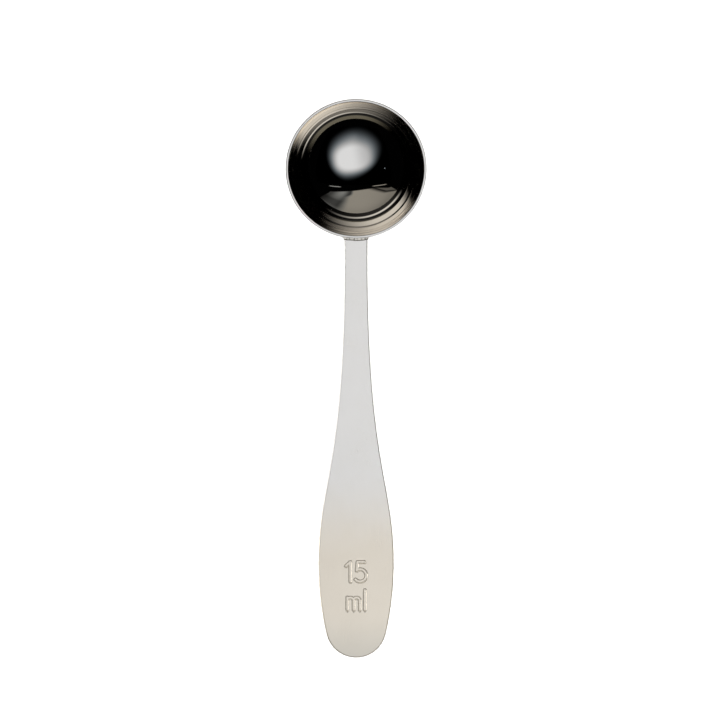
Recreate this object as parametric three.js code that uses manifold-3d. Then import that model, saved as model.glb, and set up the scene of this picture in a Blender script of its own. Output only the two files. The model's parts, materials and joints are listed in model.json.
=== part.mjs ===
// A steel measuring scoop: a drawn round bowl, a flat handle that widens into a paddle, and the two weld
// beads that join them. Millimetres, +Z up, bowl towards +Y. It lies as it would on a table, on the base of
// the bowl and the flat underside of the paddle, with its origin on the table under the middle of its box.
import * as THREE from 'three';
import { mergeVertices } from 'three/addons/utils/BufferGeometryUtils.js';
import Module from 'manifold-3d';

// Bowl, inside sizes unless said otherwise
const RIM_DIAMETER = 43; // outside, across the rim
const BOWL_WALL = 0.8; // thickness of the sheet
const DISH_RADIUS = 28; // curve of the shallow base
const SIDE_RADIUS = 13.8; // tighter curve from the base up into the wall
const WALL_HEIGHT = 3.3; // straight, tapered wall under the rim
const WALL_SLOPE = 80; // degrees from level
const RIM_BEVEL = 0.2; // eased edges of the rim

// Handle, lengths measured along the strip
const HANDLE_REACH = 151; // from the bowl's axis to the tip
const HANDLE_THICKNESS = 2;
const HANDLE_DROP = 1.4; // from the rim down to the handle's top face
const EDGE_ROUND = 0.4; // radius of its long edges
const NECK_WIDTH = 7;
const NECK_REACH = 26.4; // where the neck starts to widen, from the bowl's axis
const NECK_HOLD = 0.7; // how long the widening curve stays slim, as a share of its run
const PADDLE_HOLD = 0.27; // how long it stays wide
const PADDLE_WIDTH = 23.1;
const PADDLE_END = 28.9; // from the widest place to the tip
const PADDLE_END_RADIUS = 9.3; // round end
const PADDLE_END_LIMIT = 0.9; // the most that radius can be, as a share of half the paddle's width
const PADDLE_FLAT = 31; // straight, level stretch of the paddle, back from the tip
const BEND_START = 34; // where the handle starts to curve up, from the bowl's axis

// Weld
const WELD_GAP = 0.3; // between pieces that the weld joins
const BEAD_LEG = 1; // how far a bead reaches along the handle and up the bowl
const BEAD_RIPPLE = 0.16; // height of its ripples
const BEAD_RIPPLES = 5;

// Fineness of the curves
const BOWL_SEGMENTS = 80;
const ARC_STEPS = 4; // half the steps of an arc of the bowl
const EDGE_STEPS = 3; // layers in a rounded long edge
const OUTLINE_STEPS = 14; // points on each curve of the handle's outline
const BEAD_STEPS = 30;
const BEAD_FACE_STEPS = 4;
const HALVINGS = 60; // rounds of the search for the pose
const SAME_POINT = 1e-4; // corners closer than this are one

// Finishes
const POLISHED = { color: 0xd9d8d4, roughness: 0.06, metalness: 1 };
const SATIN = { color: 0xd9d8d4, roughness: 0.32, metalness: 1 };
const WELDED = { color: 0xb9b4aa, roughness: 0.4, metalness: 1 };

const wasm = await Module();
wasm.setup();

// Bowl

const wallSlope = THREE.MathUtils.degToRad(WALL_SLOPE);
const rimInside = RIM_DIAMETER / 2 - BOWL_WALL / Math.sin(wallSlope);
const wallFoot = { r: rimInside - WALL_HEIGHT / Math.tan(wallSlope), z: -WALL_HEIGHT };
const sideCentre = {
  r: wallFoot.r - SIDE_RADIUS * Math.sin(wallSlope),
  z: wallFoot.z + SIDE_RADIUS * Math.cos(wallSlope),
};
// Slope at which the base runs into the side, so that the two curves meet smoothly
const joinSlope = Math.asin(sideCentre.r / (DISH_RADIUS - SIDE_RADIUS));
const dishCentreZ = sideCentre.z + (DISH_RADIUS - SIDE_RADIUS) * Math.cos(joinSlope);

// Curves of the bowl from its axis to the foot of the wall, moved out of the steel by offset
function bowlCurves(offset) {
  const down = -Math.PI / 2;
  const join = joinSlope + down;
  const path = new THREE.Path();
  path.absarc(0, dishCentreZ, DISH_RADIUS + offset, down, join, false);
  path.absarc(sideCentre.r, sideCentre.z, SIDE_RADIUS + offset, join, wallSlope + down, false);
  const points = path.getPoints(ARC_STEPS);
  points[0].x = 0;
  return points;
}

// Outside radius of the bowl at a height under the rim
function bowlRadiusAt(z, offset) {
  const outside = BOWL_WALL + offset;
  const footZ = wallFoot.z - outside * Math.cos(wallSlope);
  if (z >= footZ) {
    return rimInside + outside / Math.sin(wallSlope) + z / Math.tan(wallSlope);
  }
  return sideCentre.r + Math.sqrt((SIDE_RADIUS + outside) ** 2 - (z - sideCentre.z) ** 2);
}

function turned(profile) {
  const geometry = new THREE.LatheGeometry(profile, BOWL_SEGMENTS);
  return geometry.rotateX(Math.PI / 2);
}

function bowlGeometry() {
  const inside = bowlCurves(0);
  const outside = bowlCurves(BOWL_WALL);
  const rimOutside = RIM_DIAMETER / 2;
  const rim = [
    new THREE.Vector2(rimInside - RIM_BEVEL / Math.tan(wallSlope), -RIM_BEVEL),
    new THREE.Vector2(rimInside + RIM_BEVEL, 0),
    new THREE.Vector2(rimOutside - RIM_BEVEL, 0),
    new THREE.Vector2(bowlRadiusAt(-RIM_BEVEL, 0), -RIM_BEVEL),
  ];
  return turned([...outside, ...rim.reverse(), ...inside.reverse()]);
}

// The filled bowl grown by the weld's gap, which trims what is welded to it
function bowlClearance() {
  const outside = bowlCurves(BOWL_WALL + WELD_GAP);
  outside.push(new THREE.Vector2(bowlRadiusAt(0, WELD_GAP), 0), new THREE.Vector2(0, 0));
  return turned(outside);
}

// Pose on the table

const handleUnderside = HANDLE_DROP + HANDLE_THICKNESS; // below the rim, at the neck
const bendLength = HANDLE_REACH - BEND_START - PADDLE_FLAT;

// Height of the bend's far end over the table, when the bowl stands on its base tilted by the bend's angle
function paddleHeight(tilt) {
  const neck = DISH_RADIUS + BOWL_WALL - (handleUnderside + dishCentreZ) * Math.cos(tilt);
  const fall = BEND_START * Math.sin(tilt) + (bendLength * (1 - Math.cos(tilt))) / tilt;
  return neck - fall;
}

// The bend's angle that lays the paddle flat on the table, found by halving
function restTilt() {
  let low = 0;
  let high = Math.PI / 2;
  for (let i = 0; i < HALVINGS; i += 1) {
    const middle = (low + high) / 2;
    if (paddleHeight(middle) > 0) {
      low = middle;
    } else {
      high = middle;
    }
  }
  return low;
}

const tilt = restTilt();

// Handle

// Right-hand edge of the flat strip, from the bowl's axis to the tip: x across it, y along it
function handleEdge() {
  const neck = NECK_WIDTH / 2;
  const half = PADDLE_WIDTH / 2;
  const widest = HANDLE_REACH - PADDLE_END;
  const run = widest - NECK_REACH;
  const endRadius = Math.min(PADDLE_END_RADIUS, PADDLE_END_LIMIT * half);
  const endCentre = HANDLE_REACH - endRadius;
  const toEnd = endCentre - widest;
  // Long arc from the widest place that runs smoothly into the round end
  const sideRadius = (half ** 2 + toEnd ** 2 - endRadius ** 2) / (2 * (half - endRadius));
  const joinAngle = Math.atan2(toEnd, sideRadius - half);
  const curves = [
    new THREE.LineCurve(new THREE.Vector2(neck, 0), new THREE.Vector2(neck, NECK_REACH)),
    new THREE.CubicBezierCurve(
      new THREE.Vector2(neck, NECK_REACH),
      new THREE.Vector2(neck, NECK_REACH + NECK_HOLD * run),
      new THREE.Vector2(half, widest - PADDLE_HOLD * run),
      new THREE.Vector2(half, widest),
    ),
    new THREE.EllipseCurve(half - sideRadius, widest, sideRadius, sideRadius, 0, joinAngle),
    new THREE.EllipseCurve(0, endCentre, endRadius, endRadius, joinAngle, Math.PI / 2),
  ];
  const samples = [];
  curves.forEach((curve) => {
    const steps = curve.isLineCurve ? 2 : OUTLINE_STEPS;
    for (let i = 0; i < steps; i += 1) {
      const tangent = curve.getTangent(i / steps);
      samples.push({ point: curve.getPoint(i / steps), outward: new THREE.Vector2(tangent.y, -tangent.x) });
    }
  });
  samples.push({ point: new THREE.Vector2(0, HANDLE_REACH), outward: new THREE.Vector2(0, 1) });
  return samples;
}

// Layers of the strip from its top face down: how far each is drawn in from the edge, and its height
function edgeLayers() {
  const lower = [];
  for (let i = 0; i <= EDGE_STEPS; i += 1) {
    const angle = ((Math.PI / 2) * i) / EDGE_STEPS;
    lower.push({ inset: EDGE_ROUND * (1 - Math.cos(angle)), z: EDGE_ROUND * (1 - Math.sin(angle)) });
  }
  const upper = lower.map(({ inset, z }) => ({ inset, z: HANDLE_THICKNESS - z }));
  return [...upper.reverse(), ...lower];
}

// Place in bowl coordinates of a point of the bent strip, given along it and up from its underside
function bentPoint(x, along, up) {
  const radius = bendLength / tilt;
  const angle = (tilt * THREE.MathUtils.clamp(along - BEND_START, 0, bendLength)) / bendLength;
  const before = Math.min(along, BEND_START);
  const after = Math.max(along - BEND_START - bendLength, 0);
  const out = before + radius * Math.sin(angle) + after * Math.cos(angle) - up * Math.sin(angle);
  const rise = radius * (1 - Math.cos(angle)) + after * Math.sin(angle) + up * Math.cos(angle);
  return new THREE.Vector3(x, -out, rise - handleUnderside);
}

// Closed skin over rings of as many points each, with its two ends filled by capTriangles
function skin(rings, capTriangles) {
  const size = rings[0].length;
  const positions = rings.flat().flatMap((point) => point.toArray());
  const index = [];
  for (let ring = 0; ring + 1 < rings.length; ring += 1) {
    for (let i = 0; i < size; i += 1) {
      const a = ring * size + i;
      const b = ring * size + ((i + 1) % size);
      index.push(a, b, b + size, a, b + size, a + size);
    }
  }
  const last = (rings.length - 1) * size;
  capTriangles.forEach(([a, b, c]) => {
    index.push(a, c, b, last + a, last + b, last + c);
  });
  const geometry = new THREE.BufferGeometry();
  geometry.setAttribute('position', new THREE.Float32BufferAttribute(positions, 3));
  geometry.setIndex(index);
  return geometry;
}

function handleBlank() {
  const edge = handleEdge();
  const tip = edge.length - 1;
  const rings = edgeLayers().map(({ inset, z }) => {
    const right = edge.map(({ point, outward }) => point.clone().addScaledVector(outward, -inset));
    const left = right.slice(0, tip).reverse();
    return [
      ...right.map((point) => bentPoint(point.x, point.y, z)),
      ...left.map((point) => bentPoint(-point.x, point.y, z)),
    ];
  });
  // The faces run across the strip from edge to edge
  const across = [];
  for (let i = 0; i < tip; i += 1) {
    const opposite = 2 * tip - i;
    if (i + 1 < tip) {
      across.push([i, opposite - 1, opposite], [i, i + 1, opposite - 1]);
    } else {
      across.push([i, tip, opposite]);
    }
  }
  return skin(rings, across);
}

function solidOf(geometry) {
  const bare = geometry.clone();
  bare.deleteAttribute('normal');
  bare.deleteAttribute('uv');
  const merged = mergeVertices(bare, SAME_POINT);
  return new wasm.Manifold(
    new wasm.Mesh({
      numProp: 3,
      vertProperties: new Float32Array(merged.attributes.position.array),
      triVerts: new Uint32Array(merged.index.array),
    }),
  );
}

function geometryOf(solid) {
  const mesh = solid.getMesh();
  const geometry = new THREE.BufferGeometry();
  geometry.setAttribute('position', new THREE.BufferAttribute(mesh.vertProperties, 3));
  geometry.setIndex(new THREE.BufferAttribute(mesh.triVerts, 1));
  return geometry;
}

function handleGeometry() {
  return geometryOf(solidOf(handleBlank()).subtract(solidOf(bowlClearance())));
}

// Weld beads

// A bead lies in the corner of the bowl's wall and a face of the handle: side is 1 on top, -1 underneath
function beadGeometry(side) {
  const face = side > 0 ? -HANDLE_DROP : -handleUnderside;
  const floor = face + side * WELD_GAP;
  const halfAngle = Math.asin(NECK_WIDTH / 2 / bowlRadiusAt(floor, WELD_GAP));
  const rings = [];
  for (let i = 0; i <= BEAD_STEPS; i += 1) {
    const share = i / BEAD_STEPS;
    const ripple = BEAD_RIPPLE * Math.sin(Math.PI * BEAD_RIPPLES * share) ** 2;
    const leg = BEAD_LEG - BEAD_RIPPLE + ripple;
    const around = halfAngle * (2 * share - 1);
    const section = [{ r: bowlRadiusAt(floor, WELD_GAP), z: floor }];
    for (let j = 0; j <= BEAD_FACE_STEPS; j += 1) {
      const angle = ((Math.PI / 2) * j) / BEAD_FACE_STEPS;
      const z = floor + side * leg * Math.sin(angle);
      section.push({ r: bowlRadiusAt(z, WELD_GAP) + leg * Math.cos(angle), z });
    }
    if (side > 0) {
      section.reverse();
    }
    rings.push(section.map(({ r, z }) => new THREE.Vector3(r * Math.sin(around), -r * Math.cos(around), z)));
  }
  const fan = [];
  for (let j = 1; j + 1 < rings[0].length; j += 1) {
    fan.push([0, j, j + 1]);
  }
  return skin(rings, fan);
}

// Assembly

function piece(name, geometry, finish) {
  geometry.computeVertexNormals();
  const mesh = new THREE.Mesh(geometry, new THREE.MeshStandardMaterial(finish));
  mesh.name = name;
  return mesh;
}

const scoop = new THREE.Group();
scoop.add(piece('bowl', bowlGeometry(), POLISHED));
scoop.add(piece('handle', handleGeometry(), SATIN));
scoop.add(piece('weld_bead_top', beadGeometry(1), WELDED));
scoop.add(piece('weld_bead_under', beadGeometry(-1), WELDED));
scoop.rotation.x = tilt;

const part = new THREE.Group();
part.add(scoop);
const box = new THREE.Box3().setFromObject(part, true);
const middle = box.getCenter(new THREE.Vector3());
scoop.position.set(-middle.x, -middle.y, -box.min.z);

export default part;
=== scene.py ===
"""Dresses a steel measuring scoop: a mirror-polished bowl, a satin handle and the weld that joins them.

Sizes are in metres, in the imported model's frame: +Z up from the table, the bowl towards +Y.
"""

import json
import logging
import math
from dataclasses import dataclass, field
from enum import Enum
from functools import cached_property, reduce

import bmesh
import bpy
import numpy as np
from bpy.types import ID, Material, Node, NodeSocket, Object, World
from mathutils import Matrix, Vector

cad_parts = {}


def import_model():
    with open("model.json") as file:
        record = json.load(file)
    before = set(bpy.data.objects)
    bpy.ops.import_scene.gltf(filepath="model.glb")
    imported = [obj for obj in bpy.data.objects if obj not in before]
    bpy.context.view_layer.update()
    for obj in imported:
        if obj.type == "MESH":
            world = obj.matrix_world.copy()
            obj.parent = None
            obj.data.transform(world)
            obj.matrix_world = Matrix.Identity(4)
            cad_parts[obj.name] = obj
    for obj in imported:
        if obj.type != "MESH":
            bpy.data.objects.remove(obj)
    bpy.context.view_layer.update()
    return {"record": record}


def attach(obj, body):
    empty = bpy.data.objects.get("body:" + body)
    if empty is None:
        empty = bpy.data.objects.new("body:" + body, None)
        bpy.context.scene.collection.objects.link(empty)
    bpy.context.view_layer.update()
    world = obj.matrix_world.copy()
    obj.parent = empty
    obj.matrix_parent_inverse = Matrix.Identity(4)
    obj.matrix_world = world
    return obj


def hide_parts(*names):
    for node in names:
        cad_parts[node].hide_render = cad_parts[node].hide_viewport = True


LOG = logging.getLogger("scoop")
BODY = "root"
MM = 0.001
Number = int | float
Colour = tuple[float, float, float]
Paint = Colour | NodeSocket
Place = tuple[float, float, float]
Span = tuple[float, float]
BLACK: Colour = (0.0, 0.0, 0.0)
NOISE_MIDDLE = 0.5
HAIR = 1e-9
ARC_STEPS = 14


class Field:
    """A number that varies over a surface: one output socket that takes part in arithmetic."""

    def __init__(self, tree: "ShaderTree", socket: NodeSocket) -> None:
        """Wraps a socket of a tree."""
        self.tree = tree
        self.socket = socket

    def __add__(self, other: "Field | Number") -> "Field":
        """Sum."""
        return self.tree.math("ADD", self, other)

    def __radd__(self, other: "Field | Number") -> "Field":
        """Sum with a number on the left."""
        return self.tree.math("ADD", other, self)

    def __sub__(self, other: "Field | Number") -> "Field":
        """Difference."""
        return self.tree.math("SUBTRACT", self, other)

    def __rsub__(self, other: "Field | Number") -> "Field":
        """Difference from a number on the left."""
        return self.tree.math("SUBTRACT", other, self)

    def __mul__(self, other: "Field | Number") -> "Field":
        """Product."""
        return self.tree.math("MULTIPLY", self, other)

    def __rmul__(self, other: "Field | Number") -> "Field":
        """Product with a number on the left."""
        return self.tree.math("MULTIPLY", other, self)

    def __truediv__(self, other: "Field | Number") -> "Field":
        """Quotient."""
        return self.tree.math("DIVIDE", self, other)

    def __rtruediv__(self, other: "Field | Number") -> "Field":
        """Quotient of a number on the left."""
        return self.tree.math("DIVIDE", other, self)

    def __pow__(self, other: "Field | Number") -> "Field":
        """Power."""
        return self.tree.math("POWER", self, other)

    def __abs__(self) -> "Field":
        """Size without its sign."""
        return self.tree.math("ABSOLUTE", self)

    def least(self, other: "Field | Number") -> "Field":
        """The smaller of two."""
        return self.tree.math("MINIMUM", self, other)

    def most(self, other: "Field | Number") -> "Field":
        """The larger of two."""
        return self.tree.math("MAXIMUM", self, other)

    def rise(self, low: float, high: float) -> "Field":
        """Runs smoothly from 0 at low to 1 at high.

        Args:
            low: Value at and below which the result is 0.
            high: Value at and above which it is 1.

        Returns:
            The eased field.
        """
        ramp = self.tree.node(
            "ShaderNodeMapRange",
            {"interpolation_type": "SMOOTHSTEP"},
            {"Value": self, "From Min": low, "From Max": high},
        )
        return Field(self.tree, ramp.outputs["Result"])


class ShaderTree:
    """The nodes of one material or world."""

    def __init__(self, owner: Material | World) -> None:
        """Empties the owner's node tree and takes it over.

        Args:
            owner: The material or world.
        """
        owner.use_nodes = True
        self.nodes = owner.node_tree.nodes
        self.links = owner.node_tree.links
        self.nodes.clear()

    def node(self, kind: str, settings: dict | None = None, inputs: dict | None = None) -> Node:
        """Adds one node.

        Args:
            kind: The node's type.
            settings: Its own settings, set first.
            inputs: Values or links of its sockets, by name or number.

        Returns:
            The new node.
        """
        made = self.nodes.new(kind)
        for name, value in (settings or {}).items():
            setattr(made, name, value)
        for name, value in (inputs or {}).items():
            if isinstance(value, Field):
                self.links.new(value.socket, made.inputs[name])
            elif isinstance(value, NodeSocket):
                self.links.new(value, made.inputs[name])
            else:
                made.inputs[name].default_value = value
        return made

    def math(self, operation: str, *terms: Field | Number) -> Field:
        """One Math node on fields and numbers."""
        made = self.node("ShaderNodeMath", {"operation": operation}, dict(enumerate(terms)))
        return Field(self, made.outputs["Value"])

    def place(self, kind: str = "Object") -> NodeSocket:
        """Where a point lies: in the piece's own axes, or the direction of a world ray."""
        return self.node("ShaderNodeTexCoord").outputs[kind]

    def axes(self, vector: NodeSocket) -> tuple[Field, Field, Field]:
        """Splits a vector into its three numbers."""
        parts = self.node("ShaderNodeSeparateXYZ", inputs={"Vector": vector})
        return tuple(Field(self, parts.outputs[name]) for name in "XYZ")

    def attribute(self, name: str) -> Field:
        """A number stored on the mesh's points."""
        return Field(self, self.node("ShaderNodeAttribute", {"attribute_name": name}).outputs["Fac"])

    def noise(self, scale: Place, detail: float, place: NodeSocket | None = None) -> Field:
        """Smooth noise from 0 to 1, around a half.

        Args:
            scale: Features per metre along each axis.
            detail: Octaves of finer noise.
            place: Coordinates, the piece's own where none are given.

        Returns:
            The noise.
        """
        stretched = self.node(
            "ShaderNodeVectorMath",
            {"operation": "MULTIPLY"},
            {0: place or self.place(), 1: scale},
        )
        made = self.node(
            "ShaderNodeTexNoise",
            {"noise_dimensions": "3D"},
            {"Vector": stretched.outputs["Vector"], "Scale": 1.0, "Detail": detail},
        )
        return Field(self, made.outputs["Fac"])

    def blend(self, share: Field, first: Paint, second: Paint) -> NodeSocket:
        """Mixes two colours, or links of colours.

        Args:
            share: Share of the second, from 0 to 1.
            first: The first colour.
            second: The second.

        Returns:
            The mixed colour's socket.
        """
        sides = [(*side, 1.0) if isinstance(side, tuple) else side for side in (first, second)]
        mixed = self.node("ShaderNodeMix", {"data_type": "RGBA"}, {0: share, 6: sides[0], 7: sides[1]})
        return mixed.outputs[2]

    def bump(self, height: Field, depth: float) -> NodeSocket:
        """A normal bent by a height, of which 1 stands for a depth in metres."""
        made = self.node("ShaderNodeBump", inputs={"Height": height, "Distance": depth, "Strength": 1.0})
        return made.outputs["Normal"]

    def surface(self, shader: Node) -> None:
        """Ends the tree in a shader."""
        output = "ShaderNodeOutputWorld" if shader.type == "BACKGROUND" else "ShaderNodeOutputMaterial"
        self.node(output, inputs={"Surface": shader.outputs[0]})

    def metal(self, colour: Paint, roughness: Field, normal: NodeSocket) -> None:
        """Ends the tree in bare metal.

        Args:
            colour: What it reflects.
            roughness: How dull it is.
            normal: Its bent normal.
        """
        plain = (*colour, 1.0) if isinstance(colour, tuple) else colour
        shader = self.node(
            "ShaderNodeBsdfPrincipled",
            inputs={"Base Color": plain, "Metallic": 1.0, "Roughness": roughness, "Normal": normal},
        )
        self.surface(shader)


# Finishes

STEEL: Colour = (0.935, 0.915, 0.888)


@dataclass(frozen=True)
class MirrorSteel:
    """Stainless steel polished to a mirror, with the faint rings that the polishing mop leaves."""

    slot: str = "polished_bowl"
    colour: Colour = STEEL
    roughness: float = 0.022
    haze: float = 0.03
    haze_scale: float = 260.0
    haze_span: Span = (0.45, 0.8)
    ring_scale: float = 9000.0
    ring_wander: float = 0.6
    ring_depth: float = 2.0e-8
    wave_scale: float = 110.0
    wave_depth: float = 1.5e-6
    detail: float = 4.0

    def material(self) -> Material:
        """Makes the finish.

        Returns:
            The material.
        """
        made = bpy.data.materials.new("mirror_steel")
        tree = ShaderTree(made)
        run, turn = tree.attribute("profile_run"), tree.attribute("profile_turn")
        spun = tree.node("ShaderNodeCombineXYZ", inputs={"X": run, "Y": turn})
        rings = tree.noise((self.ring_scale, self.ring_wander, 1.0), self.detail, spun.outputs["Vector"])
        wave = tree.noise((self.wave_scale,) * 3, detail=1.0)
        smear = tree.noise((self.haze_scale,) * 3, self.detail).rise(*self.haze_span)
        height = rings * self.ring_depth + wave * self.wave_depth
        tree.metal(self.colour, self.roughness + self.haze * smear, tree.bump(height, depth=1.0))
        return made


@dataclass(frozen=True)
class SatinSteel:
    """Stainless steel with a satin grain along the handle, with a warm reflection painted onto the paddle
    and painted shade darkening its tip.
    """

    slot: str = "satin_handle"
    colour: Colour = STEEL
    painted_warm_reflection: Colour = (0.965, 0.884, 0.762)
    painted_tip_shade: Colour = (0.74, 0.70, 0.62)
    painted_reflection_span: Span = (0.027, 0.056)
    painted_tip_shade_span: Span = (0.070, 0.090)
    roughness: float = 0.2
    streak: float = 0.07
    grain_across: float = 9000.0
    grain_along: float = 110.0
    grain_depth: float = 1.2e-6
    mottle_scale: float = 150.0
    mottle_tint: float = 0.25
    mottle_haze: float = 0.04

    def material(self) -> Material:
        """Makes the finish.

        Returns:
            The material.
        """
        made = bpy.data.materials.new("satin_steel")
        tree = ShaderTree(made)
        towards_tip = -1.0 * tree.axes(tree.place())[1]
        grain = tree.noise((self.grain_across, self.grain_along, self.grain_across), detail=2.0)
        mottle = tree.noise((self.mottle_scale,) * 3, detail=3.0)
        # Painted reflection: the paddle is tinted warm towards the tip, and the mottle varies the tint at
        # random.
        warmth = towards_tip.rise(*self.painted_reflection_span) + (mottle - NOISE_MIDDLE) * self.mottle_tint
        tint = tree.blend(warmth, self.colour, self.painted_warm_reflection)
        # Painted shade: the round end of the paddle is darkened.
        tint = tree.blend(towards_tip.rise(*self.painted_tip_shade_span), tint, self.painted_tip_shade)
        roughness = self.roughness + self.streak * grain + self.mottle_haze * mottle
        tree.metal(tint, roughness, tree.bump(grain, self.grain_depth))
        return made


@dataclass(frozen=True)
class WeldSteel:
    """Brushed-down weld metal: uneven and slightly straw-coloured, with shade painted dark between its
    ripples, along its toe and where it wraps over the handle's edges.
    """

    slot: str = "weld_metal"
    colour: Colour = (0.84, 0.80, 0.73)
    painted_weld_shade: Colour = (0.30, 0.27, 0.22)
    roughness: float = 0.24
    pits_scale: float = 2600.0
    pits_depth: float = 1.4e-5
    painted_shade_noise: float = 0.5
    painted_shade_span: Span = (0.2, 0.9)
    painted_shade_haze: float = 0.3

    def material(self) -> Material:
        """Makes the finish.

        Returns:
            The material.
        """
        made = bpy.data.materials.new("weld_steel")
        tree = ShaderTree(made)
        pits = tree.noise((self.pits_scale,) * 3, detail=3.0)
        # Painted shade: the stored share darkens the metal between the ripples, at the toe and over the
        # handle's edges, broken up by the pits.
        shaded = (tree.attribute("painted_weld_shade") + (pits - NOISE_MIDDLE) * self.painted_shade_noise).rise(*self.painted_shade_span)
        tint = tree.blend(shaded, self.colour, self.painted_weld_shade)
        tree.metal(tint, self.roughness + self.painted_shade_haze * shaded, tree.bump(pits, self.pits_depth))
        return made


@dataclass(frozen=True)
class PaleFloor:
    """Plain white table, which the steel reflects as a soft grey."""

    colour: Colour = (0.9, 0.9, 0.9)
    reflected: Colour = (0.36, 0.355, 0.345)

    def material(self) -> Material:
        """Makes the finish.

        Returns:
            The material.
        """
        made = bpy.data.materials.new("pale_floor")
        tree = ShaderTree(made)
        path = tree.node("ShaderNodeLightPath")
        glossy, scattered = (Field(tree, path.outputs[name]) for name in ("Is Glossy Ray", "Diffuse Depth"))
        colour = tree.blend(glossy * (1.0 - scattered.least(1.0)), self.colour, self.reflected)
        tree.surface(tree.node("ShaderNodeBsdfDiffuse", inputs={"Color": colour}))
        return made


Finish = MirrorSteel | SatinSteel | WeldSteel


# Meshes


def stand(name: str, data: ID, place: Place = (0.0, 0.0, 0.0)) -> Object:
    """Puts an object into the scene.

    Args:
        name: Its name.
        data: Its mesh, light or camera.
        place: Where it stands.

    Returns:
        The new object.
    """
    made = bpy.data.objects.new(name, data)
    made.location = place
    bpy.context.scene.collection.objects.link(made)
    return made


@dataclass
class Draft:
    """Points and faces of one piece before they become a mesh."""

    points: np.ndarray
    faces: list[tuple[int, ...]]
    notes: dict[str, np.ndarray] = field(default_factory=dict)
    merge: float = 0.0005 * MM
    sliver: float = 0.0002 * MM

    def piece(self, name: str, node: str, finish: Finish) -> Object:
        """Makes the smooth-shaded piece that stands for a node of the frame.

        Args:
            name: The piece's name.
            node: The node that it replaces.
            finish: Its finish.

        Returns:
            The new object, riding on the scoop's body.
        """
        mesh = bpy.data.meshes.new(name)
        mesh.from_pydata([tuple(point) for point in self.points], [], self.faces)
        for label, values in self.notes.items():
            stored = mesh.attributes.new(label, "FLOAT", "POINT")
            stored.data.foreach_set("value", values.astype(np.float32))
        work = bmesh.new()
        work.from_mesh(mesh)
        bmesh.ops.remove_doubles(work, verts=work.verts, dist=self.merge)
        bmesh.ops.dissolve_degenerate(work, edges=work.edges, dist=self.sliver)
        many = [face for face in work.faces if len(face.verts) > 4]
        bmesh.ops.triangulate(work, faces=many)
        bmesh.ops.recalc_face_normals(work, faces=work.faces)
        open_edges = sum(1 for edge in work.edges if not edge.is_manifold)
        work.to_mesh(mesh)
        work.free()
        mesh.polygons.foreach_set("use_smooth", [True] * len(mesh.polygons))
        mesh.materials.append(finish.material())
        made = stand(name, mesh)
        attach(made, BODY)
        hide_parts(node)
        LOG.info("%s stands for %s: %d faces, %d open edges", name, node, len(mesh.polygons), open_edges)
        return made


def loop_faces(rows: int, size: int) -> list[tuple[int, ...]]:
    """Quads between neighbouring closed loops of points.

    Args:
        rows: How many loops there are.
        size: Points in each.

    Returns:
        The quads, by point number.
    """
    faces = []
    for row in range(rows - 1):
        for i in range(size):
            here, onward = row * size + i, row * size + (i + 1) % size
            faces.append((here, onward, onward + size, here + size))
    return faces


def arc_points(centre: Span, radius: float, start: float, end: float, steps: int) -> np.ndarray:
    """Points of an arc, from one angle to another, in radians."""
    angles = np.linspace(start, end, steps + 1)
    return np.column_stack([centre[0] + radius * np.cos(angles), centre[1] + radius * np.sin(angles)])


def eased(values: np.ndarray) -> np.ndarray:
    """Eases values between 0 and 1 in and out."""
    share = np.clip(values, 0.0, 1.0)
    return share * share * (3.0 - 2.0 * share)


@dataclass
class BowlPose:
    """Where the bowl's own axes lie in the frame: its rim's centre, and its lean towards the handle."""

    origin: np.ndarray
    tilt: float

    @classmethod
    def from_record(cls, record: dict, shape: "BowlShape") -> "BowlPose":
        """Reads the pose from the mount on the rim.

        Args:
            record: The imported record.
            shape: The bowl, for where on its rim the mount sits.

        Returns:
            The pose.
        """
        rim = next(mount for mount in record["mounts"] if mount["name"] == "rim_level")
        tilt = math.atan2(-rim["axis"][1], rim["axis"][2])
        reach = np.array([0.0, math.cos(tilt), math.sin(tilt)]) * shape.rim_middle
        return cls(np.array(rim["pos_m"]) - reach, tilt)

    def placed(self, points: np.ndarray) -> np.ndarray:
        """Moves points from the bowl's axes to the frame's.

        Args:
            points: The points, one a row.

        Returns:
            The moved points.
        """
        cos, sin = math.cos(self.tilt), math.sin(self.tilt)
        turn = np.array([[1.0, 0.0, 0.0], [0.0, cos, -sin], [0.0, sin, cos]])
        return points @ turn.T + self.origin


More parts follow.
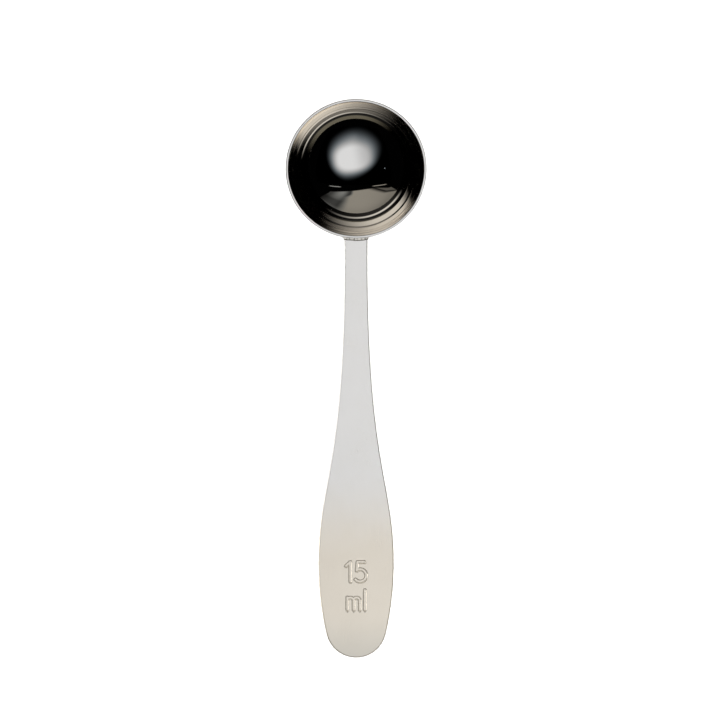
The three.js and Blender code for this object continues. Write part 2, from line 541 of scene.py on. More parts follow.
@dataclass
class BowlShape:
    """Sizes of the drawn bowl, inside unless said otherwise, with its rim at height 0."""

    rim_diameter: float = 43 * MM
    wall: float = 0.8 * MM
    dish_radius: float = 28 * MM
    side_radius: float = 13.8 * MM
    wall_height: float = 3.3 * MM
    slope: float = math.radians(80)
    rim_round: float = 0.2 * MM

    @property
    def rim_inside(self) -> float:
        """Radius of the rim's inner edge."""
        return self.rim_diameter / 2 - self.wall / math.sin(self.slope)

    @property
    def rim_middle(self) -> float:
        """Radius of the middle of the rim's flat."""
        return (self.rim_inside + self.rim_diameter / 2) / 2

    @property
    def wall_foot(self) -> Span:
        """Radius and height where the straight wall starts."""
        return self.rim_inside - self.wall_height / math.tan(self.slope), -self.wall_height

    @property
    def side_centre(self) -> Span:
        """Centre of the side's curve."""
        radius, height = self.wall_foot
        return (
            radius - self.side_radius * math.sin(self.slope),
            height + self.side_radius * math.cos(self.slope),
        )

    @property
    def join(self) -> float:
        """Slope at which the base runs into the side."""
        return math.asin(self.side_centre[0] / (self.dish_radius - self.side_radius))

    @property
    def dish_height(self) -> float:
        """Height of the centre of the base's curve."""
        return self.side_centre[1] + (self.dish_radius - self.side_radius) * math.cos(self.join)

    def curve(self, offset: float, steps: tuple[int, int]) -> np.ndarray:
        """The base and the side from the axis to the foot of the wall.

        Args:
            offset: How far out of the inside face, 0 or the wall's thickness.
            steps: Points on the base and on the side.

        Returns:
            Radius and height of each point.
        """
        down = -math.pi / 2
        join, top = down + self.join, down + self.slope
        base = arc_points((0.0, self.dish_height), self.dish_radius + offset, down, join, steps[0])
        side = arc_points(self.side_centre, self.side_radius + offset, join, top, steps[1])
        return np.vstack([base, side[1:]])

    def outside_radius(self, height: np.ndarray) -> np.ndarray:
        """Radius of the outside on the wall and the upper side.

        Args:
            height: Heights from the rim, below 0.

        Returns:
            The radius at each.
        """
        foot = self.wall_foot[1] - self.wall * math.cos(self.slope)
        straight = self.rim_diameter / 2 + height / math.tan(self.slope)
        centre, reach = self.side_centre, self.side_radius + self.wall
        curved = centre[0] + np.sqrt(np.maximum(reach**2 - (height - centre[1]) ** 2, 0.0))
        return np.where(height >= foot, straight, curved)


@dataclass
class Bowl:
    """The drawn cup, mirror-polished inside and out."""

    shape: BowlShape
    pose: BowlPose
    finish: MirrorSteel = MirrorSteel()
    around: int = 208
    base_steps: int = 34
    side_steps: int = 46
    wall_steps: int = 10
    round_steps: int = 5

    def rim(self) -> np.ndarray:
        """The straight wall's two faces and the rounded rim between them.

        Returns:
            Radius and height of each point, from inside to outside.
        """
        shape = self.shape
        slope, radius = shape.slope, shape.rim_round
        inner_run = radius / math.tan((math.pi - slope) / 2)
        outer_run = radius / math.tan(slope / 2)
        outside = shape.rim_diameter / 2
        inner_centre = (shape.rim_inside + inner_run, -radius)
        outer_centre = (outside - outer_run, -radius)
        inner = arc_points(inner_centre, radius, math.pi / 2 + slope, math.pi / 2, self.round_steps)
        outer = arc_points(outer_centre, radius, math.pi / 2, slope - math.pi / 2, self.round_steps)
        foot_in = np.array(shape.wall_foot)
        foot_out = foot_in + shape.wall * np.array([math.sin(slope), -math.cos(slope)])
        up = np.linspace(foot_in, inner[0], self.wall_steps + 1)[1:-1]
        down = np.linspace(outer[-1], foot_out, self.wall_steps + 1)[1:-1]
        return np.vstack([up, inner, outer, down])

    def build(self) -> Draft:
        """Turns the bowl's section round its axis.

        Returns:
            The bowl's draft, with the run along the section and the turn at each point.
        """
        steps = (self.base_steps, self.side_steps)
        inside = self.shape.curve(0.0, steps)
        outside = self.shape.curve(self.shape.wall, steps)
        section = np.vstack([inside, self.rim(), outside[::-1]])
        section[[0, -1], 0] = 0.0
        run = np.concatenate([[0.0], np.cumsum(np.linalg.norm(np.diff(section, axis=0), axis=1))])
        turns = np.linspace(0.0, 2 * math.pi, self.around, endpoint=False)
        radius, height = section[:, :1], np.repeat(section[:, 1:], self.around, axis=1)
        points = np.stack([radius * np.cos(turns), radius * np.sin(turns), height], axis=-1)
        notes = {
            "profile_run": np.repeat(run, self.around),
            "profile_turn": np.tile(np.abs(turns - math.pi), len(section)),
        }
        faces = loop_faces(len(section), self.around)
        return Draft(self.pose.placed(points.reshape(-1, 3)), faces, notes)

    def dress(self) -> Object:
        """Makes the finished bowl."""
        return self.build().piece("scoop_bowl", "bowl", self.finish)


class Glyph(Enum):
    """The plain characters of a stamped measure, as strokes on a cell 6 high, in millimetres."""

    ONE = (((0.0, 4.75), (1.35, 6.0), (1.35, 0.0)),)
    FIVE = (
        ((2.6, 6.0), (0.5, 6.0), (0.3, 3.35)),
        ("arc", 1.32, 1.9, 1.9, 125.0, -140.0),
    )
    M = (
        ((0.0, 3.75), (0.0, 0.0)),
        ("arc", 0.95, 2.75, 0.95, 180.0, 0.0),
        ((1.9, 2.75), (1.9, 0.0)),
        ("arc", 2.85, 2.75, 0.95, 180.0, 0.0),
        ((3.8, 2.75), (3.8, 0.0)),
    )
    L = (((0.0, 6.0), (0.0, 0.0)),)

    def strokes(self) -> list[np.ndarray]:
        """The character's strokes.

        Returns:
            Chains of points, in metres.
        """
        chains = []
        for stroke in self.value:
            if stroke[0] == "arc":
                _, x, y, radius, start, end = stroke
                chain = arc_points((x, y), radius, math.radians(start), math.radians(end), ARC_STEPS)
            else:
                chain = np.array(stroke)
            chains.append(chain * MM)
        return chains


@dataclass
class MeasureStamp:
    """The measure pressed into the paddle, one line of characters over another."""

    lines: tuple[tuple[Glyph, ...], ...] = ((Glyph.ONE, Glyph.FIVE), (Glyph.M, Glyph.L))
    from_tip: float = 22 * MM
    line_pitch: float = 8.6 * MM
    cell_height: float = 6 * MM
    letter_gap: float = 1.55 * MM
    half_stroke: float = 0.44 * MM
    wall: float = 0.26 * MM
    depth: float = 0.24 * MM

    @property
    def half_length(self) -> float:
        """Half of the stamp's length along the handle, with its walls."""
        lines = len(self.lines)
        return ((lines - 1) * self.line_pitch + self.cell_height) / 2 + self.half_stroke

    @cached_property
    def segments(self) -> np.ndarray:
        """Every straight bit of every stroke.

        Returns:
            Rows of x and y of both ends, y away from the tip.
        """
        bits = []
        for row, glyphs in enumerate(self.lines):
            cursor, chains = 0.0, []
            for glyph in glyphs:
                strokes = glyph.strokes()
                left = min(chain[:, 0].min() for chain in strokes)
                right = max(chain[:, 0].max() for chain in strokes)
                chains += [chain + np.array([cursor - left, 0.0]) for chain in strokes]
                cursor += right - left + self.letter_gap
            middle = (cursor - self.letter_gap) / 2
            drop = ((len(self.lines) - 1) / 2 - row) * self.line_pitch - self.cell_height / 2
            for chain in chains:
                moved = chain + np.array([-middle, drop])
                bits += [np.concatenate(pair) for pair in zip(moved[:-1], moved[1:])]
        return np.array(bits)

    def depth_at(self, across: np.ndarray, from_tip: np.ndarray) -> np.ndarray:
        """How deep the stamp is pressed.

        Args:
            across: Place across the handle.
            from_tip: Distance back from the tip.

        Returns:
            The depth at each place.
        """
        nearest = np.full(across.shape, np.inf)
        place = np.stack([across, from_tip - self.from_tip], axis=-1)
        for bit in self.segments:
            start, step = bit[:2], bit[2:] - bit[:2]
            share = np.clip(((place - start) @ step) / (step @ step), 0.0, 1.0)
            gap = np.linalg.norm(place - start - share[..., None] * step, axis=-1)
            nearest = np.minimum(nearest, gap)
        return self.depth * eased((self.half_stroke - nearest) / self.wall + 0.5)


@dataclass
class Handle:
    """The strip of steel from the bowl to the paddle: lengths run along the strip from the bowl's axis."""

    bowl: BowlShape
    pose: BowlPose
    finish: SatinSteel = SatinSteel()
    stamp: MeasureStamp = field(default_factory=MeasureStamp)
    reach: float = 151 * MM
    thickness: float = 2 * MM
    drop: float = 1.4 * MM
    edge_round: float = 0.4 * MM
    neck_width: float = 7 * MM
    neck_reach: float = 26.4 * MM
    neck_hold: float = 0.7
    paddle_hold: float = 0.27
    paddle_width: float = 23.1 * MM
    paddle_end: float = 28.9 * MM
    end_radius: float = 9.3 * MM
    paddle_flat: float = 31 * MM
    bend_start: float = 34 * MM
    fit_length: float = 3 * MM
    row_pitch: float = 1.0 * MM
    stamp_pitch: float = 0.1 * MM
    stamp_half_width: float = 4.3 * MM
    edge_support: float = 0.12 * MM
    edge_steps: int = 7
    end_steps: int = 26
    under_columns: int = 8
    side_columns: int = 4
    stamp_room: float = 0.9
    curve_steps: int = 1200

    @property
    def underside(self) -> float:
        """How far the neck's underside lies below the rim."""
        return self.drop + self.thickness

    @property
    def widest(self) -> float:
        """Where the paddle is widest."""
        return self.reach - self.paddle_end

    @property
    def end_centre(self) -> float:
        """Centre of the round end."""
        return self.reach - self.end_radius

    @cached_property
    def outline(self) -> np.ndarray:
        """Edge of the strip.

        Returns:
            Rows of place along it, half width, and the outward normal across and along.
        """
        half, neck = self.paddle_width / 2, self.neck_width / 2
        to_end = self.end_centre - self.widest
        side_radius = (half**2 + to_end**2 - self.end_radius**2) / (2 * (half - self.end_radius))
        join = math.atan2(to_end, side_radius - half)
        run = self.widest - self.neck_reach
        t = np.linspace(0.0, 1.0, self.curve_steps)[:, None]
        knots = np.array(
            [
                (neck, self.neck_reach),
                (neck, self.neck_reach + self.neck_hold * run),
                (half, self.widest - self.paddle_hold * run),
                (half, self.widest),
            ]
        )
        swell = np.hstack([(1 - t) ** 3, 3 * (1 - t) ** 2 * t, 3 * (1 - t) * t**2, t**3]) @ knots
        along = self.row_places(self.end_centre + self.end_radius * math.sin(join))
        curved = np.sqrt(side_radius**2 - np.clip(along - self.widest, 0.0, None) ** 2) - side_radius + half
        widths = np.where(along < self.widest, np.interp(along, swell[:, 1], swell[:, 0]), curved)
        slopes = np.gradient(widths, along)
        length = np.sqrt(1 + slopes**2)
        rows = np.column_stack([along, widths, 1 / length, -slopes / length])
        angles = np.linspace(join, math.pi / 2, self.end_steps + 1)[1:]
        cos, sin = np.cos(angles), np.sin(angles)
        cos[-1] = 0.0
        end = np.column_stack([self.end_centre + self.end_radius * sin, self.end_radius * cos, cos, sin])
        return np.vstack([rows, end])

    def row_places(self, last: float) -> np.ndarray:
        """Places of the mesh's rows along the strip, close together at the stamp.

        Args:
            last: Where the round end starts.

        Returns:
            The places.
        """
        first = float(self.bowl.outside_radius(np.array(-self.drop)))
        middle = self.reach - self.stamp.from_tip
        reach = self.stamp.half_length + 2 * self.stamp_pitch
        spans = (
            (first, middle - reach, self.row_pitch),
            (middle - reach, middle + reach, self.stamp_pitch),
            (middle + reach, last, self.row_pitch / 2),
        )
        parts = [np.linspace(a, b, math.ceil((b - a) / pitch), endpoint=False) for a, b, pitch in spans]
        return np.concatenate([*parts, [last]])

    def columns(self) -> np.ndarray:
        """Places of the mesh's columns over the stamp, from the left of it to the right."""
        half = math.ceil(self.stamp_half_width / self.stamp_pitch)
        return np.arange(-half, half + 1) * self.stamp_pitch

    def edge(self) -> np.ndarray:
        """The long edge's section from the top face to the underside.

        Returns:
            How far each point is drawn in from the outline, and its height.
        """
        turn = np.linspace(0.0, math.pi / 2, self.edge_steps + 1)
        lower = np.column_stack([1 - np.cos(turn), 1 - np.sin(turn)]) * self.edge_round
        upper = lower * [1, -1] + [0, self.thickness]
        return np.vstack([upper[::-1], lower])

    def bent(self, points: np.ndarray) -> np.ndarray:
        """Bends points of the flat strip into the bowl's axes.

        Args:
            points: Rows of place across, along and up from the underside.

        Returns:
            The bent points.
        """
        length = self.reach - self.bend_start - self.paddle_flat
        radius = length / self.pose.tilt
        across, along, up = points.T
        angle = np.clip(along - self.bend_start, 0.0, length) / radius
        before = np.minimum(along, self.bend_start)
        after = np.maximum(along - self.bend_start - length, 0.0)
        out = before + radius * np.sin(angle) + after * np.cos(angle) - up * np.sin(angle)
        rise = radius * (1 - np.cos(angle)) + after * np.sin(angle) + up * np.cos(angle)
        return np.column_stack([across, -out, rise - self.underside])

    def rib(self, place: np.ndarray) -> np.ndarray:
        """One closed loop round the strip.

        Args:
            place: A row of the outline.

        Returns:
            Points across, along and up, starting at the left of the top face.
        """
        along, half, out_x, out_y = place
        edge = self.edge()
        right = np.column_stack([half - edge[:, 0] * out_x, along - edge[:, 0] * out_y, edge[:, 1]])
        left = right[::-1] * [-1, 1, 1]
        flat, level = right[0, 0], right[0, 1]
        inner = max(flat - self.edge_support, 0.0)
        columns = self.columns()
        columns = columns * min(1.0, self.stamp_room * inner / columns[-1])
        reach = np.linspace(columns[-1], inner, self.side_columns + 1)[1:]
        across = np.concatenate([-reach[::-1], columns, reach])
        top = np.column_stack([across, np.full_like(across, level), np.full_like(across, self.thickness)])
        under = np.linspace(inner, -inner, self.under_columns + 1)
        bottom = np.column_stack([under, np.full_like(under, right[-1, 1]), np.zeros_like(under)])
        return np.vstack([top, right, bottom, left])

    def build(self) -> Draft:
        """Bends the outline into the strip, fits its end to the bowl and presses the stamp into it.

        Returns:
            The handle's draft.
        """
        ribs = [self.rib(place) for place in self.outline]
        size = len(ribs[0])
        points = np.vstack(ribs)
        across, along, up = points.T
        reach = self.bowl.outside_radius(up - self.underside)
        butt = np.sqrt(reach**2 - np.minimum(across, self.neck_width) ** 2)
        first = self.outline[0, 0]
        share = np.clip((first + self.fit_length - along) / self.fit_length, 0.0, 1.0)
        points[:, 1] += share * (butt - first)
        top = up > self.thickness - HAIR
        points[:, 2] -= np.where(top, self.stamp.depth_at(across, self.reach - along), 0.0)
        faces = loop_faces(len(ribs), size)
        faces.append(tuple(range(size)))
        return Draft(self.pose.placed(self.bent(points)), faces)

    def dress(self) -> Object:
        """Makes the finished handle."""
        return self.build().piece("scoop_handle", "handle", self.finish)


class Face(Enum):
    """The face of the handle that a bead runs along, with the direction away from it."""

    TOP = 1
    UNDER = -1


@dataclass
class WeldBead:
    """One bead of weld metal in the corner of the bowl's wall and a face of the handle.

    Its waves are given by size, rate and start, its wander by size and rate.
    """

    face: Face
    handle: Handle
    finish: WeldSteel = WeldSteel()
    leg: float = 1.2 * MM
    rise: float = 0.6 * MM
    end_leg: float = 0.5 * MM
    sink: float = 0.06 * MM
    ripple: float = 0.14
    ripples: float = 3.2
    toe_power: float = 9.0
    overhang: float = 0.45 * MM
    droop: float = 0.9 * MM
    wander: Span = (0.9, 2.3)
    crest_power: float = 0.7
    waves: tuple[tuple[float, float, float], ...] = ((0.12, 5.1, 0.7), (0.07, 11.0, 2.0))
    leg_ripple: float = 0.22
    end_fade: float = 0.16
    turn_reach: float = 2.4
    toe_spread: float = 1.5
    toe_edge: float = 0.3
    toe_fade: float = 0.15
    ripple_shade: float = 0.5
    edge_wrap_shade: float = 0.8
    steps: int = 100
    face_steps: int = 16

    def legs(self, share: np.ndarray) -> tuple[np.ndarray, np.ndarray, np.ndarray]:
        """The bead's reach at places across the handle.

        Args:
            share: Place from -1 at the left end to 1 at the right.

        Returns:
            Reach along the handle, reach up the bowl, and depth between two ripples, which sets the shade
            painted there.
        """
        drift, pace = self.wander
        phase = math.pi * self.ripples * share + drift * np.sin(pace * share + self.face.value)
        crest = np.abs(np.cos(phase)) ** self.crest_power
        uneven = 1.0 + sum(size * np.sin(rate * share + start) for size, rate, start in self.waves)
        swell = (1 - self.ripple + self.ripple * crest) * uneven
        end = eased((1.0 - np.abs(share)) / self.end_fade)
        leg = self.leg * (1.0 - self.leg_ripple + self.leg_ripple * swell)
        out = self.end_leg + (leg - self.end_leg) * end
        up = self.end_leg + (self.rise * swell - self.end_leg) * end
        return out, up, 1.0 - crest * end

    def build(self) -> Draft:
        """Sweeps the bead's section round the bowl, across the handle and a little over its edges.

        Returns:
            The bead's draft, with the share of painted shade at each point.
        """
        bowl, side = self.handle.bowl, self.face.value
        level = -self.handle.drop if self.face is Face.TOP else -self.handle.underside
        base = float(bowl.outside_radius(np.array(level)))
        half_turn = math.asin((self.handle.neck_width / 2 + self.overhang) / base)
        edge = 1.0 - self.turn_reach * self.overhang / self.handle.neck_width
        share = np.linspace(-1.0, 1.0, self.steps + 1)
        run = np.linspace(0.0, 1.0, self.face_steps + 1) ** self.toe_spread
        loops, painted_shade_rows = [], []
        for place, out, up, painted_weld_shade in zip(share, *self.legs(share)):
            over = float(eased(np.array((abs(place) - edge) / (1.0 - edge))))
            floor = level - side * self.droop * over
            height = floor + side * up * (1.0 - (1.0 - run) ** self.toe_power)
            radius = bowl.outside_radius(height) + out * (1.0 - run)
            toe_point = (base + out, floor - side * self.sink)
            heel = (float(bowl.outside_radius(np.array(floor))) - self.sink, floor - side * self.sink)
            top = (radius[-1] - self.sink, height[-1])
            section = np.vstack([np.column_stack([radius, height]), [top, heel, toe_point]])
            angle = place * half_turn
            x, y = section[:, 0] * math.sin(angle), -section[:, 0] * math.cos(angle)
            loops.append(np.column_stack([x, y, section[:, 1]]))
            # Painted shade: full at the toe, and weighted between the ripples and where the bead wraps over
            # the handle's edges.
            toe_shadow = np.concatenate([1 - eased((run - self.toe_edge) / self.toe_fade), [0.0, 1.0, 1.0]])
            painted_shade_rows.append(np.clip(self.ripple_shade * painted_weld_shade + toe_shadow + self.edge_wrap_shade * over, 0.0, 1.0))
        size = len(loops[0])
        faces = loop_faces(len(loops), size)
        last = (len(loops) - 1) * size
        faces += [tuple(range(size)), tuple(range(last, last + size))]
        points = self.handle.pose.placed(np.vstack(loops))
        return Draft(points, faces, {"painted_weld_shade": np.concatenate(painted_shade_rows)})

    def dress(self) -> Object:
        """Makes the finished bead."""
        name = self.face.name.lower()
        return self.build().piece(f"scoop_weld_{name}", f"weld_bead_{name}", self.finish)


# Studio


@dataclass(frozen=True)
class Fade:
    """A loss of light that sets in smoothly over a span."""

    span: Span
    loss: float = 1.0

    def left(self, place: Field) -> Field:
        """Share of the light that is left, 1 before the span."""
        return 1.0 - self.loss * place.rise(*self.span)


@dataclass(frozen=True)
class Line:
    """A straight line across the studio, by its height in the middle and its slope."""

    height: float
    slope: float = 0.0

    def above(self, u: Field, v: Field) -> Field:
        """How far a place lies above the line."""
        return v - (self.height + self.slope * u)


@dataclass(frozen=True)
class Strip:
    """A thin bright edge below the board."""

    line: Line
    middle: float
    half: float
    core: float = 0.6
    edge: Span = (0.003, 0.013)

    def light(self, u: Field, v: Field) -> Field:
        """Brightness of a place, from 0 to 1."""
        length = 1.0 - abs(u - self.middle).rise(self.core * self.half, self.half)
        return length * (1.0 - abs(self.line.above(u, v)).rise(*self.edge))


@dataclass(frozen=True)
class Fan:
    """Light that spreads from a point in the studio between two soft sides, as bearings in degrees."""

    apex: Span
    start: Span
    end: Span

    def share(self, tree: ShaderTree, u: Field, v: Field) -> Field:
        """1 between the sides, 0 outside them."""
        bearing = math.degrees(1.0) * tree.math("ARCTAN2", v - self.apex[1], u - self.apex[0])
        return bearing.rise(*self.start) * (1.0 - bearing.rise(*self.end))


@dataclass
class Rebound:
    """Light that only the bowl's second and later reflections meet, in place of the studio of the first.

    A fan over the handle and a dimmer one beyond the bowl are shaped after the stripes in the photographed
    bowl, which the first reflections' studio doesn't give. Why the two differ isn't known. Reflections are
    counted from the number that the first one has.
    """

    tree: ShaderTree
    first: int
    near: Fan = Fan((0.014, -0.045), (-136.0, -58.0), (-40.0, -14.0))
    far: Fan = Fan((0.0, -0.017), (54.0, 88.0), (120.0, 152.0))
    tint: Colour = (1.04, 1.0, 0.92)
    olive: Colour = (1.14, 1.05, 0.79)
    olive_span: Span = (0.0, 0.1)
    ring_span: Span = (0.14, 0.74)
    ring_fade: Fade = Fade((0.46, 1.15), 0.98)
    steady: float = 0.69
    steady_gain: float = 0.28
    steady_span: Span = (2.8, 4.2)
    far_gain: float = 0.2
    far_delay: float = 0.21
    far_limits: Span = (0.02, 0.6)
    board_span: Span = (0.3, 0.5)
    board_light: float = 0.105
    step: float = 0.1

    @cached_property
    def further(self) -> Field:
        """How many reflections follow the first."""
        depth = Field(self.tree, self.tree.node("ShaderNodeLightPath").outputs["Ray Depth"])
        return depth - self.first

    def beyond(self, count: float) -> Field:
        """1 where more reflections than a count follow the first, otherwise 0."""
        return self.further.rise(count - self.step, count + self.step)

    def light(self, u: Field, v: Field) -> NodeSocket:
        """Light of the second and later reflections.

        Args:
            u: Place across the studio, as a share of the height above the bowl.
            v: Place along it.

        Returns:
            The colour socket.
        """
        distance = (u**2 + v**2) ** 0.5
        second = 1.0 - self.beyond(1.5)
        ring = distance.rise(*self.ring_span) * self.ring_fade.left(distance)
        steady = self.steady + self.steady_gain * self.further.rise(*self.steady_span)
        near = steady + second * (ring - steady)
        board = second * distance.rise(*self.board_span)
        dimmest, brightest = self.far_limits
        far = (self.far_gain * self.further - self.far_delay).most(dimmest).least(brightest)
        far = far + self.board_light * board
        level = near * self.near.share(self.tree, u, v) + far * self.far.share(self.tree, u, v)
        colour = self.tree.blend(board * v.rise(*self.olive_span), self.tint, self.olive)
        return self.tree.blend(level, BLACK, colour)


@dataclass(frozen=True)
class RoundedEdge:
    """A rounded outline on a card: places and sizes are shares of the card's height."""

    centre: Span
    half: Span
    turn: float
    roundness: float

    def distance(self, u: Field, v: Field) -> Field:
        """Distance of a place from the middle.

        Args:
            u: Place across the card.
            v: Place along it.

        Returns:
            The distance, 1 on the outline.
        """
        x, y = u - self.centre[0], v - self.centre[1]
        cos, sin = math.cos(math.radians(self.turn)), math.sin(math.radians(self.turn))
        across, along = abs(cos * x + sin * y) / self.half[0], abs(cos * y - sin * x) / self.half[1]
        return (across**self.roundness + along**self.roundness) ** (1 / self.roundness)


@dataclass
class Softbox:
    """A soft light on a level card above the handle, fading out from a bright middle to a rounded edge."""

    over: np.ndarray
    height: float = 0.5
    sides: Span = (-1.0, 1.3)
    ends: Span = (-2.3, 0.2)
    bright: RoundedEdge = RoundedEdge((0.079, -0.453), (0.308, 0.245), 9.6, 2.6)
    dark: RoundedEdge = RoundedEdge((0.048, -1.23), (1.387, 1.019), 81.5, 1.674)
    pull: float = 0.608
    softness: float = 2.634
    fall: float = 2.84
    least_gap: float = 1e-5
    dim: Fade = Fade((-0.06, 0.373), 0.313)
    dim_lean: float = 0.164
    tint: Colour = (0.985, 1.0, 1.02)
    fringe: Colour = (0.86, 1.0, 1.11)
    fringe_span: Span = (0.0, 0.6)
    strength: float = 0.75
    glint: Span = (-0.754, -0.202)
    glint_radius: float = 0.012
    glint_edge: Span = (0.5, 1.5)
    glint_share: float = 0.45

    def material(self) -> Material:
        """Makes the card's glow.

        Returns:
            The material.
        """
        made = bpy.data.materials.new("softbox")
        tree = ShaderTree(made)
        rebound = Rebound(tree, 1)
        x, y, _ = tree.axes(tree.place())
        u, v = x / self.height, y / self.height
        past = (self.bright.distance(u, v) - 1.0).most(0.0)
        past_bright = past**2 / (past + self.softness)
        to_dark = (1.0 - self.dark.distance(u, v)).most(0.0)
        glow = (to_dark / (to_dark + self.pull * past_bright).most(self.least_gap)) ** self.fall
        glow = glow * self.dim.left(-1.0 * (u + self.dim_lean * v))
        spot = ((u - self.glint[0]) ** 2 + (v - self.glint[1]) ** 2) ** 0.5
        glint = 1.0 - (spot / self.glint_radius).rise(*self.glint_edge)
        colour = tree.blend(glow.rise(*self.fringe_span), self.fringe, self.tint)
        direct = tree.blend(self.strength * glow + self.glint_share * glint, BLACK, colour)
        shown = tree.blend(rebound.beyond(0.5), direct, rebound.light(u, v))
        tree.surface(tree.node("ShaderNodeEmission", inputs={"Color": shown}))
        return made

    def build(self) -> None:
        """Hangs the card, seen only in reflections."""
        mesh = bpy.data.meshes.new("softbox")
        (left, right), (near, far) = self.sides, self.ends
        corners = [(left, near), (left, far), (right, far), (right, near)]
        mesh.from_pydata([(x * self.height, y * self.height, 0.0) for x, y in corners], [], [(0, 1, 2, 3)])
        mesh.materials.append(self.material())
        card = stand("softbox", mesh, (*self.over[:2], self.over[2] + self.height))
        card.visible_camera = False
        card.visible_shadow = False
        card.visible_diffuse = False


@dataclass
class Surroundings:
    """The dim studio round the scoop: a folded board that slopes up behind the bowl, and dark elsewhere.

    The fold's middle and half width are given at its foot, with what they gain where it opens up.
    """

    board: Colour = (0.312, 0.290, 0.247)
    wing: Colour = (0.302, 0.305, 0.290)
    shade: Colour = (0.0004, 0.0004, 0.0004)
    backdrop: Colour = (1.0, 1.0, 1.0)
    lowest: float = 0.03
    nearest: float = 0.05
    edges: tuple[Line, ...] = (
        Line(0.332, 0.115),
        Line(-0.0744, 0.72),
        Line(0.2273, -0.122),
        Line(-0.18, -0.5),
    )
    edge_blur: Span = (-0.01, 0.012)
    strips: tuple[Strip, ...] = (Strip(Line(0.256), 0.518, 0.19), Strip(Line(0.249, 0.027), -0.603, 0.25))
    crease: Line = Line(0.132, -0.345)
    crease_rise: Span = (0.0, 0.11)
    crease_fade: Fade = Fade((-0.03, 0.01))
    before_crease: float = 0.42
    fold_span: Span = (0.41, 0.53)
    fold_middle: Span = (0.22, 0.21)
    fold_half: Span = (0.11, 0.1)
    board_level: float = 0.84
    board_side: Fade = Fade((0.0, 1.5), 0.28)
    board_top: Fade = Fade((0.7, 1.6), 0.12)
    wing_base: float = 0.15
    wing_foot: float = 0.5
    wing_foot_fade: Fade = Fade((0.36, 0.72))
    wing_fold: float = 0.2
    wing_fold_span: Span = (0.34, 0.8)
    wing_side: Fade = Fade((0.8, 1.5), 0.75)
    wing_top: float = 0.1
    wing_top_span: Span = (1.1, 1.6)

    def build(self) -> None:
        """Makes the world: the studio for reflections, a plain white backdrop for the camera."""
        world = bpy.data.worlds.new("studio")
        bpy.context.scene.world = world
        tree = ShaderTree(world)
        rebound = Rebound(tree, 2)
        x, y, z = tree.axes(tree.place("Generated"))
        steep = z.most(self.lowest)
        u, v = x / steep, y / steep
        bearing = u / v.most(self.nearest)
        turned = self.turned(bearing, v)
        lit = self.sheet(u, v) * self.shading(u, v, bearing, turned)
        strips = sum(strip.light(u, v) for strip in self.strips)
        direct = tree.blend(lit.most(strips), self.shade, tree.blend(turned, self.board, self.wing))
        colour = tree.blend(rebound.beyond(0.5), direct, rebound.light(u, v))
        camera = Field(tree, tree.node("ShaderNodeLightPath").outputs["Is Camera Ray"])
        shown = tree.blend(camera, colour, self.backdrop)
        tree.surface(tree.node("ShaderNodeBackground", inputs={"Color": shown}))

    def sheet(self, u: Field, v: Field) -> Field:
        """1 on the board, 0 beyond its edges."""
        inside = reduce(Field.least, [edge.above(u, v) for edge in self.edges])
        return inside.rise(*self.edge_blur)

    def turned(self, bearing: Field, v: Field) -> Field:
        """How far the board has turned over its soft fold into the wing on its far side.

        Args:
            bearing: Place across the studio over the place along it.
            v: Place along it, as a share of the height above the bowl.

        Returns:
            0 on the board, 1 on its wing.
        """
        opened = v.rise(*self.fold_span)
        middle, half = (start + more * opened for start, more in (self.fold_middle, self.fold_half))
        return ((bearing - middle) / half).rise(-1.0, 1.0)

    def shading(self, u: Field, v: Field, bearing: Field, turned: Field) -> Field:
        """Brightness of the board.

        Args:
            u: Place across the studio, as a share of the height above the bowl.
            v: Place along it.
            bearing: Their ratio.
            turned: 0 on the board, 1 on its wing.

        Returns:
            Brightness from 0 to 1.
        """
        past = self.crease.above(u, v)
        folded = past.rise(*self.crease_rise) + self.before_crease * self.crease_fade.left(past)
        main = folded * self.board_side.left(-1.0 * u) * self.board_top.left(v)
        wing = self.wing_base + self.wing_foot * self.wing_foot_fade.left(v)
        wing = wing * (self.wing_fold + (1.0 - self.wing_fold) * bearing.rise(*self.wing_fold_span))
        wing = wing * self.wing_side.left(bearing) + self.wing_top * v.rise(*self.wing_top_span)
        return self.board_level * main * (1.0 - turned) + wing * turned


@dataclass(frozen=True)
class StripLight:
    """A plain area light that reaches only some of the pieces."""

    name: str
    place: Place
    size: Span
    power: float
    aim: Place = (0.0, -0.02, 0.005)

    def build(self, only: list[Object]) -> None:
        """Hangs the light, aimed at the handle.

        Args:
            only: The pieces that it reaches.
        """
        light = bpy.data.lights.new(self.name, "AREA")
        light.shape = "RECTANGLE"
        light.size, light.size_y = self.size
        light.energy = self.power
        made = stand(self.name, light, self.place)
        towards = Vector(self.aim) - Vector(self.place)
        made.rotation_euler = towards.to_track_quat("-Z", "Y").to_euler()
        made.visible_camera = False
        reached = bpy.data.collections.new(f"{self.name}_reaches")
        for piece in only:
            reached.objects.link(piece)
        made.light_linking.receiver_collection = reached


class Side(Enum):
    """The four sides of the scoop, with the place of the large light there."""

    LEFT = (-1.3, 0.0, 0.8)
    RIGHT = (1.3, 0.0, 0.8)
    NEAR = (0.0, -1.3, 0.8)
    FAR = (0.0, 1.3, 0.8)


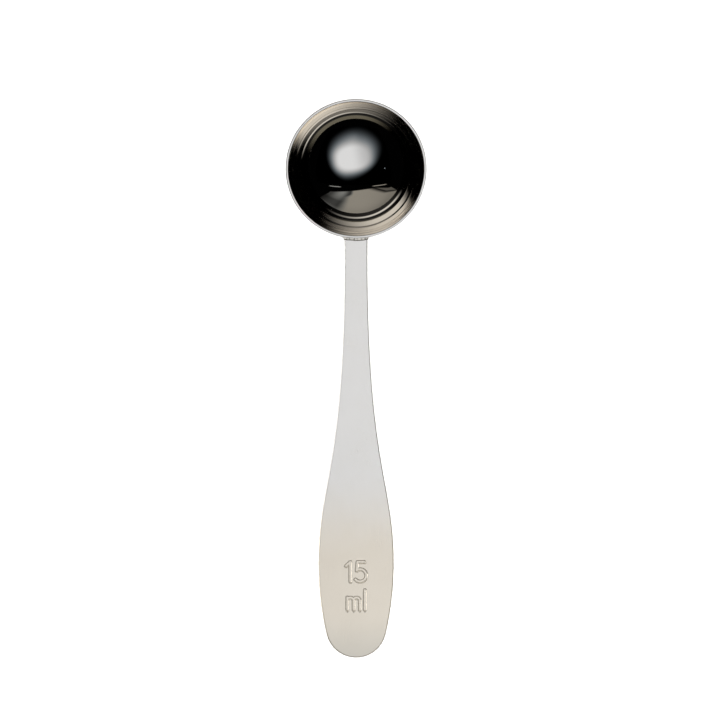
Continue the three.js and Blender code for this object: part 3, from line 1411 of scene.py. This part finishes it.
@dataclass
class Studio:
    """Floor, light and camera."""

    focus: np.ndarray
    satin_pieces: list[Object]
    floor_radius: float = 12.0
    floor_sides: int = 64
    floor_gap: float = 0.1 * MM
    camera_height: float = 2.5
    camera_place: Span = (1.2 * MM, 5.9 * MM)
    pixels_per_metre: float = 3285.4
    rim_height: float = 17.3 * MM
    picture: int = 720
    sensor: float = 36.0
    lamp_size: float = 3.0
    lamp_height: float = 2.6
    lamp_power: float = 190.0
    edge_light: StripLight = StripLight("edge_light", (-0.5, -0.02, 0.42), (0.3, 0.8), 1.0)
    handle_light: StripLight = StripLight("handle_light", (0.0, -0.12, 0.48), (0.6, 0.8), 0.20)
    side_size: Span = (2.8, 1.5)
    side_power: float = 4.6
    reflections: int = 20

    def floor(self) -> None:
        """Lays the table."""
        mesh = bpy.data.meshes.new("floor")
        ring = arc_points((0.0, 0.0), self.floor_radius, 0.0, 2 * math.pi, self.floor_sides)[:-1]
        mesh.from_pydata([(x, y, -self.floor_gap) for x, y in ring], [], [tuple(range(len(ring)))])
        mesh.materials.append(PaleFloor().material())
        stand("floor", mesh)

    def lamp(self) -> None:
        """Hangs the broad light that whitens the table."""
        light = bpy.data.lights.new("table_light", "AREA")
        light.shape = "DISK"
        light.size = self.lamp_size
        light.energy = self.lamp_power
        made = stand("table_light", light, (0.0, 0.0, self.lamp_height))
        made.visible_glossy = False
        made.visible_camera = False

    def camera(self) -> None:
        """Sets the camera straight above, as the photograph was taken."""
        data = bpy.data.cameras.new("camera")
        data.sensor_width = self.sensor
        drop = self.camera_height - self.rim_height
        data.lens = self.pixels_per_metre * drop * self.sensor / self.picture
        bpy.context.scene.camera = stand("camera", data, (*self.camera_place, self.camera_height))

    def build(self) -> None:
        """Sets up the whole studio."""
        scene = bpy.context.scene
        scene.view_settings.view_transform = "Standard"
        scene.cycles.max_bounces = self.reflections
        scene.cycles.glossy_bounces = self.reflections
        self.floor()
        self.lamp()
        self.camera()
        Softbox(self.focus).build()
        self.edge_light.build(self.satin_pieces)
        self.handle_light.build(self.satin_pieces)
        for side in Side:
            light = StripLight(f"{side.name.lower()}_light", side.value, self.side_size, self.side_power)
            light.build(self.satin_pieces[:1])
        Surroundings().build()
        LOG.info("studio ready")


def main() -> None:
    """Loads the frame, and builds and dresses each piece."""
    logging.basicConfig(level=logging.INFO, format="%(name)s: %(message)s")
    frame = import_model()
    shape = BowlShape()
    pose = BowlPose.from_record(frame["record"], shape)
    handle = Handle(shape, pose)
    Bowl(shape, pose).dress()
    satin = [handle.dress()]
    satin += [WeldBead(face, handle).dress() for face in Face]
    Studio(pose.origin, satin).build()
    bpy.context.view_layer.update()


if __name__ == "__main__":
    main()
